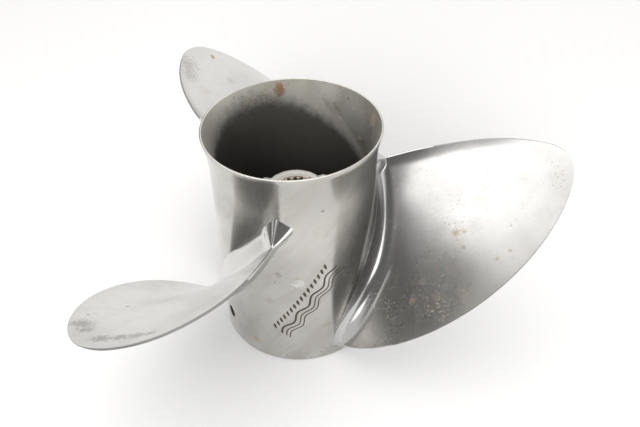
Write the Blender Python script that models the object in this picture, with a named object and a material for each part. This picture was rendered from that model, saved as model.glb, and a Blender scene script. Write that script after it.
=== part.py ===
"""Three-bladed stainless outboard propeller with a through-hub exhaust, as separate pieces.

Frame: metres. +Z is the shaft axis and points aft, so the propeller stands on the front end face of
its barrel. The origin is on the shaft axis in the plane of that face. Angles are counter-clockwise
seen from aft, from +X. A right-hand propeller: each blade rises as its angle grows.
"""
import math

import bmesh
import bpy
from mathutils import Vector

MM = 0.001
TURN = 2.0 * math.pi
GAP = 0.30 * MM                       # between pieces that touch on the real propeller

# Whole propeller
DIAMETER = 336.6 * MM                 # 13 1/4 in
BLADE_COUNT = 3
FIRST_BLADE_ANGLE = math.radians(-23.9)

# Barrel: the outer exhaust tube, slightly tapered, with a flared aft rim
BARREL_LENGTH = 154.5 * MM
BARREL_FRONT_RADIUS = 53.4 * MM
BARREL_WAIST_RADIUS = 50.5 * MM
RIM_RADIUS = 54.3 * MM
FLARE_LENGTH = 25.5 * MM
FLARE_POWER = 1.65
BARREL_WALL = 3.2 * MM
RIM_WALL = 1.3 * MM
BARREL_EDGE = 0.5 * MM
BARREL_SEGMENTS = 72
FLARE_ROWS = 6
VENT_RADIUS = 4.3 * MM
VENT_HEIGHT = 19.0 * MM
FIRST_VENT_ANGLE = math.radians(-35.0)

# Blades: each section lies on a cylinder round the shaft. Span runs from 0 at the barrel to 1 at the
# tip, and the section spans mid angle -/+ half angle. The polynomials are in rising powers of span.
BLADE_ROOT_RADIUS = 52.4 * MM
HALF_ANGLE = (0.721, 0.125, -0.246, -0.087)
MID_ANGLE = (0.0, 0.037, 0.347, -0.090)
RISE_PER_RADIAN = 71.75 * MM          # 17 3/4 in pitch at the root, 17 in as the blade's mean
PITCH_FALL = 0.073                    # share of the pitch lost from root to tip
RAKE = (60.76 * MM, 25.03 * MM, 23.08 * MM)
LEADING_LIFT = 4.6 * MM               # leading edge turned up a little at mid span
CUP = 1.6 * MM                        # trailing edge curled aft
CUP_START = 0.93                      # share of the chord where the curl begins
ROOT_THICKNESS = 8.5 * MM
TIP_THICKNESS = 2.6 * MM
EDGE_THICKNESS = 1.5 * MM
FILLET = 4.0 * MM                     # at the leading tip and on the suction side
TRAILING_FILLET = 12.0 * MM           # at the trailing tip, growing along the pressure side
SUCTION_FILLET_FADE = 0.15            # share of the way round where the wide fillet fades
CHORD_STEPS = 18
SPAN_ROWS = 15
FILLET_ROWS = (0.0, 0.12, 0.35, 0.65, 1.0)
ROOT_CAP_STEPS = 7

# Inner hub: a tube for the rubber bush, narrowing to a boss round the sleeve's aft end
HUB_FRONT = 12.0 * MM
HUB_AFT = 107.0 * MM
HUB_RADIUS = 28.0 * MM
HUB_BORE = 24.0 * MM
BOSS_RADIUS = 18.9 * MM
BOSS_START = 96.0 * MM
CONE_START = 78.0 * MM
HUB_SEGMENTS = 48

# Ribs that carry the inner hub inside the barrel
RIB_ANGLES = tuple(math.radians(a) for a in (30.0, 150.0, 270.0))
RIB_THICKNESS = 5.0 * MM
RIB_FRONT = 18.0 * MM
RIB_AFT = 100.0 * MM
RIB_FRONT_DIP = 8.0 * MM
RIB_AFT_DIP = 9.0 * MM
RIB_EDGE_STEPS = 8

# Rubber bush and the splined sleeve bonded inside it
SLEEVE_RADIUS = 14.5 * MM
SLEEVE_FRONT = 10.0 * MM
SPLINE_COUNT = 15
SPLINE_ROOT_RADIUS = 11.1 * MM
SPLINE_TIP_RADIUS = 9.7 * MM
BUSH_FRONT = 14.0 * MM
BUSH_AFT = 80.0 * MM
CHAMFER = 0.6 * MM
BUSH_CHAMFER = 1.4 * MM

STAINLESS = ((0.60, 0.59, 0.57), 0.28, 1.0)
SLEEVE_STEEL = ((0.55, 0.54, 0.50), 0.38, 1.0)
RUBBER = ((0.025, 0.024, 0.023), 0.75, 0.0)


def clear_scene():
    for thing in list(bpy.data.objects):
        bpy.data.objects.remove(thing, do_unlink=True)


def make_material(name, look):
    color, roughness, metallic = look
    material = bpy.data.materials.new(name)
    material.use_nodes = True
    shader = material.node_tree.nodes["Principled BSDF"]
    shader.inputs["Base Color"].default_value = (*color, 1.0)
    shader.inputs["Roughness"].default_value = roughness
    shader.inputs["Metallic"].default_value = metallic
    return material


def add_object(name, bm, material):
    """Turn a finished bmesh into a smooth-shaded object with outward normals."""
    bmesh.ops.recalc_face_normals(bm, faces=bm.faces)
    mesh = bpy.data.meshes.new(name)
    bm.to_mesh(mesh)
    bm.free()
    mesh.shade_smooth()
    mesh.set_sharp_from_angle(angle=math.radians(35.0))
    obj = bpy.data.objects.new(name, mesh)
    bpy.context.scene.collection.objects.link(obj)
    if material:
        mesh.materials.append(material)
    return obj


def polynomial(coefficients, x):
    return sum(c * x ** power for power, c in enumerate(coefficients))


def polar(radius, angle, z):
    return Vector((radius * math.cos(angle), radius * math.sin(angle), z))


def circle(radius, z, count):
    return [polar(radius, TURN * i / count, z) for i in range(count)]


def bridge(bm, loop_a, loop_b):
    """Quads between two closed loops with the same number of vertices."""
    count = len(loop_a)
    for i in range(count):
        j = (i + 1) % count
        bm.faces.new((loop_a[i], loop_a[j], loop_b[j], loop_b[i]))


def ring_solid(name, loops, material):
    """A solid with a hole through it: closed loops joined in turn, the last one to the first."""
    bm = bmesh.new()
    rows = [[bm.verts.new(point) for point in loop] for loop in loops]
    for row, following in zip(rows, rows[1:] + rows[:1]):
        bridge(bm, row, following)
    return add_object(name, bm, material)


def turned(name, profile, segments, material):
    """Revolve a closed (radius, z) profile round the shaft axis."""
    return ring_solid(name, [circle(r, z, segments) for r, z in profile], material)


def barrel_outer(z):
    """Outer radius of the barrel at height z."""
    flare_start = BARREL_LENGTH - FLARE_LENGTH
    flare = max(0.0, (z - flare_start) / FLARE_LENGTH)
    taper = (BARREL_WAIST_RADIUS - BARREL_FRONT_RADIUS) * z / BARREL_LENGTH
    return BARREL_FRONT_RADIUS + taper + (RIM_RADIUS - BARREL_WAIST_RADIUS) * flare ** FLARE_POWER


def barrel_inner(z):
    """Inner radius of the barrel at height z. The wall thins towards the flared rim."""
    flare_start = BARREL_LENGTH - FLARE_LENGTH
    flare = max(0.0, (z - flare_start) / FLARE_LENGTH)
    return barrel_outer(z) - BARREL_WALL - (RIM_WALL - BARREL_WALL) * flare


def vent_cutter(index):
    """A radial cylinder through the barrel wall."""
    angle = FIRST_VENT_ANGLE + TURN * index / BLADE_COUNT
    bm = bmesh.new()
    length = 6.0 * BARREL_WALL
    bmesh.ops.create_cone(bm, cap_ends=True, segments=24, radius1=VENT_RADIUS,
                          radius2=VENT_RADIUS, depth=length)
    cutter = add_object(f"vent_cutter_{index + 1}", bm, None)
    cutter.location = polar(BARREL_FRONT_RADIUS, angle, VENT_HEIGHT)
    cutter.rotation_euler = (0.0, math.pi / 2.0, angle)
    cutter.hide_render = True
    cutter.display_type = "WIRE"
    return cutter


def make_barrel(material):
    straight_top = BARREL_LENGTH - FLARE_LENGTH
    heights = [BARREL_EDGE, 0.3 * straight_top, 0.65 * straight_top]
    heights += [straight_top + FLARE_LENGTH * i / FLARE_ROWS for i in range(FLARE_ROWS)]
    lip = BARREL_LENGTH - BARREL_EDGE
    heights.append(lip)
    profile = [(BARREL_FRONT_RADIUS - BARREL_EDGE, 0.0)]
    profile += [(barrel_outer(z), z) for z in heights]
    profile += [(barrel_outer(lip) - BARREL_EDGE, BARREL_LENGTH),
                (barrel_inner(lip) + BARREL_EDGE, BARREL_LENGTH)]
    profile += [(barrel_inner(z), z) for z in reversed(heights)]
    profile.append((barrel_inner(0.0) + BARREL_EDGE, 0.0))
    barrel = turned("barrel", profile, BARREL_SEGMENTS, material)
    for index in range(BLADE_COUNT):
        cut = barrel.modifiers.new(f"vent_{index + 1}", "BOOLEAN")
        cut.operation = "DIFFERENCE"
        cut.object = vent_cutter(index)
    return barrel


def blade_radius(span):
    return BLADE_ROOT_RADIUS + (DIAMETER / 2.0 - BLADE_ROOT_RADIUS) * span


def blade_thickness(span, chord):
    """Blade thickness: full at mid chord, down to that of the rounded edges at both ends."""
    root_share = 1.0 - span ** 0.8
    full = TIP_THICKNESS + (ROOT_THICKNESS - TIP_THICKNESS) * root_share
    full *= min(1.0, 0.35 + 1.6 * math.sqrt(1.0 - span))
    edge = min(EDGE_THICKNESS, full)
    return edge + (full - edge) * 4.0 * chord * (1.0 - chord)


def blade_face(span, chord):
    """Angle and height of the pressure face, chord 0 at the leading edge and 1 at the trailing."""
    taper = math.sqrt(1.0 - span)
    rise = RISE_PER_RADIAN * (1.0 - PITCH_FALL * span)
    nose = 0.5 * blade_thickness(span, 0.0) / math.hypot(blade_radius(span), rise)
    half = taper * polynomial(HALF_ANGLE, span) - nose
    angle = polynomial(MID_ANGLE, span) + half * (2.0 * chord - 1.0)
    lift = LEADING_LIFT * math.sin(math.pi * span) * (1.0 - chord) ** 3
    curl = max(0.0, (chord - CUP_START) / (1.0 - CUP_START)) ** 2
    cup = CUP * curl * min(1.0, 4.0 * span) * min(1.0, 2.5 * taper)
    return angle, polynomial(RAKE, span) + rise * angle + lift + cup


def nose_points(start, end, ahead):
    """The rounded edge of a section: points on the half circle from start to end."""
    centre = (start + end) / 2.0
    arm = start - centre
    angles = [math.pi * i / 4.0 for i in range(1, 4)]
    return [centre + arm * math.cos(a) + ahead * arm.length * math.sin(a) for a in angles]


def blade_section(span):
    """Closed outline of a section on its cylinder, as (arc length, z), from the leading tip on."""
    radius = blade_radius(span)
    step = 1e-4
    pressure, suction, directions = [], [], []
    for i in range(CHORD_STEPS + 1):
        chord = 0.5 * (1.0 - math.cos(math.pi * i / CHORD_STEPS))
        near = min(max(chord, step), 1.0 - step)
        angle_a, z_a = blade_face(span, near - step)
        angle_b, z_b = blade_face(span, near + step)
        along = Vector((radius * (angle_b - angle_a), z_b - z_a)).normalized()
        angle, z = blade_face(span, chord)
        pressure.append(Vector((radius * angle, z)))
        across = Vector((along.y, -along.x))
        suction.append(pressure[-1] + blade_thickness(span, chord) * across)
        directions.append(along)
    trailing = nose_points(pressure[-1], suction[-1], directions[-1])
    leading = nose_points(suction[0], pressure[0], -directions[0])
    return leading[1:] + pressure + trailing + suction[::-1] + leading[:1]


def fillet_radius(share):
    """Root fillet by share of the way round the section: 0 leading tip, 0.5 trailing tip."""
    wide = math.sin(math.pi * share)
    if share > 0.5:
        wide = max(0.0, 1.0 - (share - 0.5) / SUCTION_FILLET_FADE) ** 2
    return FILLET + (TRAILING_FILLET - FILLET) * wide


def swollen(outline, amount):
    """The outline grown outwards, point by point, by amount times the root fillet there."""
    grown = []
    for i, point in enumerate(outline):
        ahead = outline[(i + 1) % len(outline)] - outline[i - 1]
        outward = Vector((-ahead.y, ahead.x)).normalized()
        grown.append(point + amount * fillet_radius(i / len(outline)) * outward)
    return grown


def blade_row(span, climb, blade_angle):
    """One section in space. Climb is the share of the root fillet's height below it."""
    radius = blade_radius(span)
    amount = 1.0 - math.sqrt(1.0 - (1.0 - climb) ** 2)
    row = []
    for arc, z in swollen(blade_section(span), amount):
        seat = barrel_outer(z) + GAP - BLADE_ROOT_RADIUS
        row.append(polar(radius + seat * (1.0 - span) ** 4, blade_angle + arc / radius, z))
    return row


def on_barrel(point_a, point_b, share):
    """A point between two others, put back on the blade's seat round the barrel."""
    point = point_a.lerp(point_b, share)
    seat = (barrel_outer(point.z) + GAP) / math.hypot(point.x, point.y)
    return Vector((point.x * seat, point.y * seat, point.z))


def make_blade(index, material):
    blade_angle = FIRST_BLADE_ANGLE + TURN * index / BLADE_COUNT
    fillet_span = TRAILING_FILLET / (DIAMETER / 2.0 - BLADE_ROOT_RADIUS)
    rows = [blade_row(climb * fillet_span, climb, blade_angle) for climb in FILLET_ROWS]
    first = math.asin(fillet_span)
    for i in range(1, SPAN_ROWS + 1):
        span = math.sin(first + (math.pi / 2.0 - first) * i / (SPAN_ROWS + 0.35))
        rows.append(blade_row(span, 1.0, blade_angle))
    bm = bmesh.new()
    verts = [[bm.verts.new(point) for point in row] for row in rows]
    for row, following in zip(verts, verts[1:]):
        bridge(bm, row, following)
    bm.faces.new(verts[-1])

    # The seat on the barrel: strips across the root section, from its pressure to its suction side
    root = verts[0]
    trailing_tip = len(root) // 2
    strips = []
    for i in range(1, trailing_tip):
        pressure, suction = root[i], root[-i]
        inner = [bm.verts.new(on_barrel(pressure.co, suction.co, s / ROOT_CAP_STEPS))
                 for s in range(1, ROOT_CAP_STEPS)]
        strips.append([pressure] + inner + [suction])
    for strip, following in zip(strips, strips[1:]):
        for s in range(ROOT_CAP_STEPS):
            bm.faces.new((strip[s], following[s], following[s + 1], strip[s + 1]))
    for strip, edge in ((strips[0], root[0]), (strips[-1], root[trailing_tip])):
        for s in range(ROOT_CAP_STEPS):
            bm.faces.new((strip[s], strip[s + 1], edge))
    return add_object(f"blade_{index + 1}", bm, material)


def hub_outer(z):
    """Outer radius of the inner hub at height z."""
    cone = min(1.0, max(0.0, (z - CONE_START) / (BOSS_START - CONE_START)))
    return HUB_RADIUS + (BOSS_RADIUS - HUB_RADIUS) * cone


def make_inner_hub(material):
    boss_bore = SLEEVE_RADIUS + GAP
    shoulder = BUSH_AFT + 2.0 * MM
    profile = [
        (HUB_RADIUS - CHAMFER, HUB_FRONT),
        (HUB_RADIUS, HUB_FRONT + CHAMFER),
        (HUB_RADIUS, CONE_START),
        (BOSS_RADIUS, BOSS_START),
        (BOSS_RADIUS, HUB_AFT - CHAMFER),
        (BOSS_RADIUS - CHAMFER, HUB_AFT),
        (boss_bore, HUB_AFT),
        (boss_bore, shoulder + 4.0 * MM),
        (HUB_BORE - BUSH_CHAMFER, shoulder),
        (HUB_BORE, shoulder - BUSH_CHAMFER),
        (HUB_BORE, HUB_FRONT + BUSH_CHAMFER),
        (HUB_BORE + BUSH_CHAMFER, HUB_FRONT),
    ]
    return turned("inner_hub", profile, HUB_SEGMENTS, material)


def dipped_edge(start, end, dip):
    """Points of a rib's free edge, sagging by dip between its two ends."""
    points = []
    for i in range(RIB_EDGE_STEPS + 1):
        share = i / RIB_EDGE_STEPS
        radius = start[0] + (end[0] - start[0]) * share
        z = start[1] + (end[1] - start[1]) * share + dip * math.sin(math.pi * share)
        points.append((radius, z))
    return points


def make_rib(index, material):
    """A flat web between the inner hub and the barrel, both ends clear by the gap."""
    corner = 1.2 * GAP
    boss_side = BOSS_RADIUS + corner
    hub_side = HUB_RADIUS + corner
    front_out = (barrel_inner(RIB_FRONT) - corner, RIB_FRONT)
    aft_out = (barrel_inner(RIB_AFT) - corner, RIB_AFT)
    outline = dipped_edge((hub_side, RIB_FRONT), front_out, RIB_FRONT_DIP)
    outline += dipped_edge(aft_out, (boss_side, HUB_AFT - CHAMFER), -RIB_AFT_DIP)
    outline += [(boss_side, BOSS_START), (hub_side, CONE_START)]
    bm = bmesh.new()
    sides = []
    for side in (-0.5, 0.5):
        sides.append([bm.verts.new((r, side * RIB_THICKNESS, z)) for r, z in outline])
    bridge(bm, sides[0], sides[1])
    for side in sides:
        bm.faces.new(side)
    rib = add_object(f"rib_{index + 1}", bm, material)
    rib.rotation_euler = (0.0, 0.0, RIB_ANGLES[index])
    return rib


def make_bush(material):
    outer = HUB_BORE - GAP
    bore = SLEEVE_RADIUS + GAP
    profile = [
        (outer - BUSH_CHAMFER, BUSH_FRONT),
        (outer, BUSH_FRONT + BUSH_CHAMFER),
        (outer, BUSH_AFT - BUSH_CHAMFER),
        (outer - BUSH_CHAMFER, BUSH_AFT),
        (bore, BUSH_AFT),
        (bore, BUSH_FRONT),
    ]
    return turned("rubber_bush", profile, HUB_SEGMENTS, material)


def spline_outline(z, ease):
    """The splined bore at height z, opened up by ease at its chamfered mouths."""
    points = []
    pitch = TURN / SPLINE_COUNT
    for tooth in range(SPLINE_COUNT):
        for share, radius in ((0.00, SPLINE_TIP_RADIUS), (0.30, SPLINE_TIP_RADIUS),
                              (0.46, SPLINE_ROOT_RADIUS), (0.84, SPLINE_ROOT_RADIUS)):
            opened = max(radius, min(radius + ease, SPLINE_ROOT_RADIUS))
            points.append(polar(opened, pitch * (tooth + share), z))
    return points


def sleeve_circle(radius, z):
    """Outside of the sleeve, with a point in line with each point of the splined bore."""
    return [polar(radius, math.atan2(p.y, p.x), z) for p in spline_outline(z, 0.0)]


def make_sleeve(material):
    loops = [
        sleeve_circle(SLEEVE_RADIUS - CHAMFER, SLEEVE_FRONT),
        sleeve_circle(SLEEVE_RADIUS, SLEEVE_FRONT + CHAMFER),
        sleeve_circle(SLEEVE_RADIUS, HUB_AFT - CHAMFER),
        sleeve_circle(SLEEVE_RADIUS - CHAMFER, HUB_AFT),
        spline_outline(HUB_AFT, CHAMFER),
        spline_outline(HUB_AFT - CHAMFER, 0.0),
        spline_outline(SLEEVE_FRONT + CHAMFER, 0.0),
        spline_outline(SLEEVE_FRONT, CHAMFER),
    ]
    return ring_solid("drive_sleeve", loops, material)


def main():
    clear_scene()
    make_barrel(make_material("barrel", STAINLESS))
    blade_steel = make_material("blades", STAINLESS)
    for index in range(BLADE_COUNT):
        make_blade(index, blade_steel)
    make_inner_hub(make_material("inner_hub", STAINLESS))
    rib_steel = make_material("ribs", STAINLESS)
    for index in range(len(RIB_ANGLES)):
        make_rib(index, rib_steel)
    make_bush(make_material("rubber_bush", RUBBER))
    make_sleeve(make_material("drive_sleeve", SLEEVE_STEEL))


main()
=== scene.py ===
import math

import bmesh
import bpy
from mathutils import Matrix, Vector, noise


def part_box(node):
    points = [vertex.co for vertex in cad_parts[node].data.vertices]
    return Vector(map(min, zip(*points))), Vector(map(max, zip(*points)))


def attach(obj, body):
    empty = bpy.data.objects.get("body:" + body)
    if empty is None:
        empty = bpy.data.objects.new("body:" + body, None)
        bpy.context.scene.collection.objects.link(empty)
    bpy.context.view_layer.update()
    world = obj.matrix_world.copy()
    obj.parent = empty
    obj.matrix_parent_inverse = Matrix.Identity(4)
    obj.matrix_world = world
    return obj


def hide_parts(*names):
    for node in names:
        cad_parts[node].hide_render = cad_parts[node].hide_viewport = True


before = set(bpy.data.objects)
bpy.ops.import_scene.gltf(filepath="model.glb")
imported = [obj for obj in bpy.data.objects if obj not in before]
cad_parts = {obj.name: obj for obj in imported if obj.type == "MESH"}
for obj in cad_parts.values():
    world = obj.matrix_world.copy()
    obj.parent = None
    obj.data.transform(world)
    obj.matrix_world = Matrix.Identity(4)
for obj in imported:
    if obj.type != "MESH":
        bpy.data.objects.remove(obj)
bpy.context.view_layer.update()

# A stainless steel boat propeller that stands on its front face, with its shaft axis along +Z. All
# but the rubber bush and the splined sleeve is one casting, and the sleeve turns in it.
MM = 0.001
TURN = 2.0 * math.pi
BODY = "propeller"
SLEEVE_BODY = "drive_sleeve"

# The frame's own sizes
BARREL_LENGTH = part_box("barrel")[1].z
HUB_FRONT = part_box("inner_hub")[0].z
HUB_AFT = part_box("inner_hub")[1].z
HUB_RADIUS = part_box("inner_hub")[1].x
BUSH_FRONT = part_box("rubber_bush")[0].z
BUSH_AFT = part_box("rubber_bush")[1].z
SLEEVE_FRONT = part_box("drive_sleeve")[0].z
SLEEVE_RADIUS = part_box("drive_sleeve")[1].x

# Barrel
BARREL_FRONT_RADIUS = 53.4 * MM
BARREL_WAIST_RADIUS = 50.5 * MM
RIM_RADIUS = 54.3 * MM
FLARE_LENGTH = 25.5 * MM
FLARE_POWER = 1.65
BARREL_WALL = 3.2 * MM
RIM_WALL = 1.2 * MM            # the wall thins to this over the flare
ROUNDED_EDGE = 0.5 * MM        # how far the rounded ends of the barrel and the sleeve reach
UNEVENNESS = 0.10 * MM         # how far the hand-finished barrel strays from true
NICK_ANGLE = -124.0            # degrees, like the spread
NICK_SPREAD = 13.0
NICK_DEPTH = 0.9 * MM
NICK_HEIGHT = 1.6 * MM

# Vent holes
VENT_COUNT = 3
VENT_RADIUS = 4.3 * MM
VENT_HEIGHT = 19.0 * MM
VENT_ROUND = 0.7 * MM
FIRST_VENT_ANGLE = math.radians(-35.0)
# A vent cutter's rings: millimetres out from the inner wall, then how many times VENT_ROUND wider
VENT_RINGS = ((-3.0, 0.0), (0.0, 0.0), (2.6, 0.0), (3.25, 0.25), (3.6, 0.8), (6.0, 6.0))

# Engraved ornament: its place on the barrel, then its lines in mm, u along it and v across
ORNAMENT_ANGLE = math.radians(-83.0)
ORNAMENT_HEIGHT = 57.0 * MM
ORNAMENT_TILT = math.radians(56.6)
ENGRAVING_DEPTH = 0.38 * MM
CUTTER_OVERHANG = 0.25 * MM    # how far the cutters stand out of the barrel
WAVES = ((1.0, 1.5), (-2.5, 0.85), (-5.2, 0.85))    # (v of the middle, width of the groove)
WAVES_START = -36.0
WAVES_LENGTH = 66.0
WAVE_PITCH = 17.3
WAVE_SWING = 1.5
LEAF_COUNT = 16
LEAF_PITCH = 4.1
LEAVES_START = -35.0
LEAF_FOOT = 5.0                # v where the leaves start
LEAF_SIZE = (3.2, 3.6)
LEAF_BULGE = 0.5
LEAF_WIDTH = 2.0

# Blades. Span runs from 0 at the root to 1 at the tip, chord from the leading edge to the trailing.
BLADE_COUNT = 3
FIRST_BLADE_ANGLE = math.radians(-23.9)
TIP_RADIUS = 168.3 * MM
BLADE_ROOT_RADIUS = 52.4 * MM
HALF_ANGLE = (0.721, 0.125, -0.246, -0.087)
MID_ANGLE = (0.0, 0.037, 0.347, -0.090)
RISE_PER_RADIAN = 71.75 * MM
PITCH_FALL = 0.073
RAKE = (60.76 * MM, 25.03 * MM, 23.08 * MM)
LEADING_LIFT = 4.6 * MM
CUP = 1.6 * MM                 # how far the trailing edge is curled aft
CUP_START = 0.955
CUP_POWER = 1.4
CUP_FADE = (0.60, 0.93)        # span over which the cup fades out
ROOT_THICKNESS = 8.5 * MM
TIP_THICKNESS = 2.6 * MM
EDGE_THICKNESS = 1.5 * MM
SINK = 0.04 * MM               # how far a blade's root goes into the barrel

# Root fillet, hollow along the faces
FILLET = 2.5 * MM              # its least width
TRAILING_FILLET = 14.0 * MM    # its full width, before it narrows
FILLET_GROWTH = 0.5            # share of the pressure side over which it widens
FILLET_HEIGHT = 13.0 * MM
FILLET_POWER = 1.65            # 2 is a quarter circle, 1 a flat chamfer
TAIL_NARROWING = 0.50          # share of the width that is lost by the trailing edge
NARROWING_SPAN = (0.50, 0.85)  # share of the pressure side over which it is lost
SUCTION_FILLET_FADE = 0.15     # share of the whole outline over which it fades behind the edge

# Flat facet that closes the fillet behind the trailing edge
FACET_SIDE = 7.4 * MM          # half width
FACET_LEAN = 2.2 * MM          # how far its far end lies towards the pressure side
FACET_REACH = 9.8 * MM
FACET_TOP = 0.82               # share of the fillet's height where its point is
FACET_BLEND = 9.0 * MM         # how far ahead of the trailing edge it still counts
FACET_SQUARENESS = 11          # a higher power makes its back flatter and its corners tighter

# Inner hub, ribs, bush and sleeve
HUB_BORE = 24.0 * MM
BOSS_RADIUS = 18.9 * MM
BOSS_START = 96.0 * MM
CONE_START = 78.0 * MM
SHOULDER_GAP = 2.0 * MM        # from the bush to the shoulder in the hub's bore
SHOULDER_SLOPE = 4.0 * MM
HUB_FIT = 0.05 * MM            # between the hub and what is in it
BUSH_FIT = 0.02 * MM           # between the bush and the sleeve
BUSH_DISH = 2.0 * MM           # how far the bush's end faces are hollowed
RIB_ANGLES = tuple(math.radians(a) for a in (30.0, 150.0, 270.0))
RIB_THICKNESS = 5.0 * MM
RIB_FRONT = 18.0 * MM
RIB_AFT = 100.0 * MM
RIB_FRONT_DIP = 8.0 * MM
RIB_AFT_DIP = 9.0 * MM
RIB_FILLET = 4.0 * MM
RIB_SINK = 0.25 * MM
SPLINE_COUNT = 15
SPLINE_ROOT_RADIUS = 11.1 * MM
SPLINE_TIP_RADIUS = 9.7 * MM
SPLINE_SHARPNESS = 3.0
SPLINE_OFFSET = 0.15           # share of a tooth by which the teeth are turned

# Mesh fineness
BARREL_COLUMNS = 360
BARREL_ROWS = 46
VENT_COLUMNS = 48
WAVE_STEPS = 96
LEAF_STEPS = 10
CHORD_STEPS = 64
NOSE_STEPS = 16
FILLET_STEPS = 20
SPAN_ROWS = 64
EDGE_START = 10                # rows between the fillet and where the dark edge starts
TURNED_COLUMNS = 144
RIB_STEPS = 40
RIB_ROUND_STEPS = 10
SPLINE_COLUMNS = 16 * SPLINE_COUNT


# -------------------- meshes

def new_object(name, bm, materials):
    """An object with the finished bmesh as its mesh."""
    bmesh.ops.recalc_face_normals(bm, faces=bm.faces)
    mesh = bpy.data.meshes.new(name)
    bm.to_mesh(mesh)
    bm.free()
    for material in materials:
        mesh.materials.append(material)
    obj = bpy.data.objects.new(name, mesh)
    bpy.context.scene.collection.objects.link(obj)
    return obj


def add_piece(name, bm, materials, body, nodes, sharp=35.0):
    """A smooth piece that rides on a body and stands for CAD nodes; sharp is in degrees."""
    obj = new_object(name, bm, materials)
    obj.data.shade_smooth()
    obj.data.set_sharp_from_angle(angle=math.radians(sharp))
    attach(obj, body)
    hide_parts(*nodes)
    return obj


def polynomial(coefficients, x):
    """The coefficients start with the constant term."""
    return sum(c * x ** power for power, c in enumerate(coefficients))


def smooth(x, low, high):
    """A smooth step from 0 at low to 1 at high."""
    t = min(1.0, max(0.0, (x - low) / (high - low)))
    return t * t * (3.0 - 2.0 * t)


def polar(radius, angle, z):
    return Vector((radius * math.cos(angle), radius * math.sin(angle), z))


def bridge(bm, loop_a, loop_b, material_index=0):
    """Quads between two closed loops of as many vertices."""
    count = len(loop_a)
    for i in range(count):
        j = (i + 1) % count
        face = bm.faces.new((loop_a[i], loop_a[j], loop_b[j], loop_b[i]))
        face.material_index = material_index


def bridge_rows(bm, rows):
    for row, following in zip(rows, rows[1:]):
        bridge(bm, row, following)


def close_ends(bm, rows):
    bm.faces.new(rows[0][::-1])
    bm.faces.new(rows[-1])


def ring_mesh(loops, inner_from=None):
    """Closed loops joined in turn, the last to the first.

    The faces from the loop inner_from on take the second material.
    """
    bm = bmesh.new()
    rows = [[bm.verts.new(point) for point in loop] for loop in loops]
    for i, row in enumerate(rows):
        inner = inner_from is not None and i >= inner_from
        bridge(bm, row, rows[(i + 1) % len(rows)], 1 if inner else 0)
    return bm


def circle(radius, z, count):
    return [polar(radius, TURN * i / count, z) for i in range(count)]


def rounded(profile, radius, steps=4):
    """A closed (r, z) profile with every corner that is marked with a radius share rounded."""
    points = []
    for i, (r, z, share) in enumerate(profile):
        corner = Vector((r, z))
        if not share:
            points.append(corner)
            continue
        before = Vector(profile[i - 1][:2]) - corner
        after = Vector(profile[(i + 1) % len(profile)][:2]) - corner
        cut = radius * share
        start = corner + before.normalized() * cut
        end = corner + after.normalized() * cut
        support = 0.2 * cut
        points.append(start + before.normalized() * min(support, 0.2 * before.length))
        for s in range(steps + 1):
            t = s / steps
            points.append(start * (1 - t) ** 2 + corner * 2 * t * (1 - t) + end * t ** 2)
        points.append(end + after.normalized() * min(support, 0.2 * after.length))
    return points


def turned_mesh(profile):
    """A closed (r, z) profile turned round the shaft axis."""
    return ring_mesh([circle(r, z, TURNED_COLUMNS) for r, z in profile])


# -------------------- barrel

def flare_at(z):
    """0 where the flare starts, 1 at the rim."""
    return max(0.0, (z - (BARREL_LENGTH - FLARE_LENGTH)) / FLARE_LENGTH)


def barrel_outer(z):
    taper = (BARREL_WAIST_RADIUS - BARREL_FRONT_RADIUS) * z / BARREL_LENGTH
    flare = (RIM_RADIUS - BARREL_WAIST_RADIUS) * flare_at(z) ** FLARE_POWER
    return BARREL_FRONT_RADIUS + taper + flare


def barrel_inner(z):
    return barrel_outer(z) - BARREL_WALL - (RIM_WALL - BARREL_WALL) * flare_at(z)


def lip_points(z_edge, z_end, steps=6):
    """Half round over the barrel's end wall, from its outer side to its inner side."""
    thick = barrel_outer(z_edge) - barrel_inner(z_edge)
    centre = barrel_inner(z_edge) + thick / 2.0
    height = math.copysign(min(abs(z_end - z_edge), thick / 2.0), z_end - z_edge)
    points = []
    for s in range(1, steps):
        a = math.pi * s / steps
        points.append((centre + thick / 2.0 * math.cos(a), z_edge + height * math.sin(a) ** 0.7))
    return points


def barrel_profile():
    """The wall's closed (r, z) outline, and the point of it where the inside starts."""
    straight = BARREL_LENGTH - 2 * ROUNDED_EDGE
    heights = [ROUNDED_EDGE + straight * i / BARREL_ROWS for i in range(BARREL_ROWS + 1)]
    outer = [(barrel_outer(z), z) for z in heights]
    inner = [(barrel_inner(z), z) for z in reversed(heights)]
    top = lip_points(BARREL_LENGTH - ROUNDED_EDGE, BARREL_LENGTH)
    bottom = lip_points(ROUNDED_EDGE, 0.0)[::-1]
    return outer + top + inner + bottom, len(outer) + len(top) // 2


def over_barrel(u, v, deep):
    """The point of the ornament at (u, v) in mm, in the groove's floor or over the barrel."""
    arc = u * MM * math.cos(ORNAMENT_TILT) - v * MM * math.sin(ORNAMENT_TILT)
    rise = u * MM * math.sin(ORNAMENT_TILT) + v * MM * math.cos(ORNAMENT_TILT)
    angle = ORNAMENT_ANGLE + arc / barrel_outer(ORNAMENT_HEIGHT)
    height = ORNAMENT_HEIGHT + rise
    off = -ENGRAVING_DEPTH if deep else CUTTER_OVERHANG
    return polar(barrel_outer(height) + off, angle, height)


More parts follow.
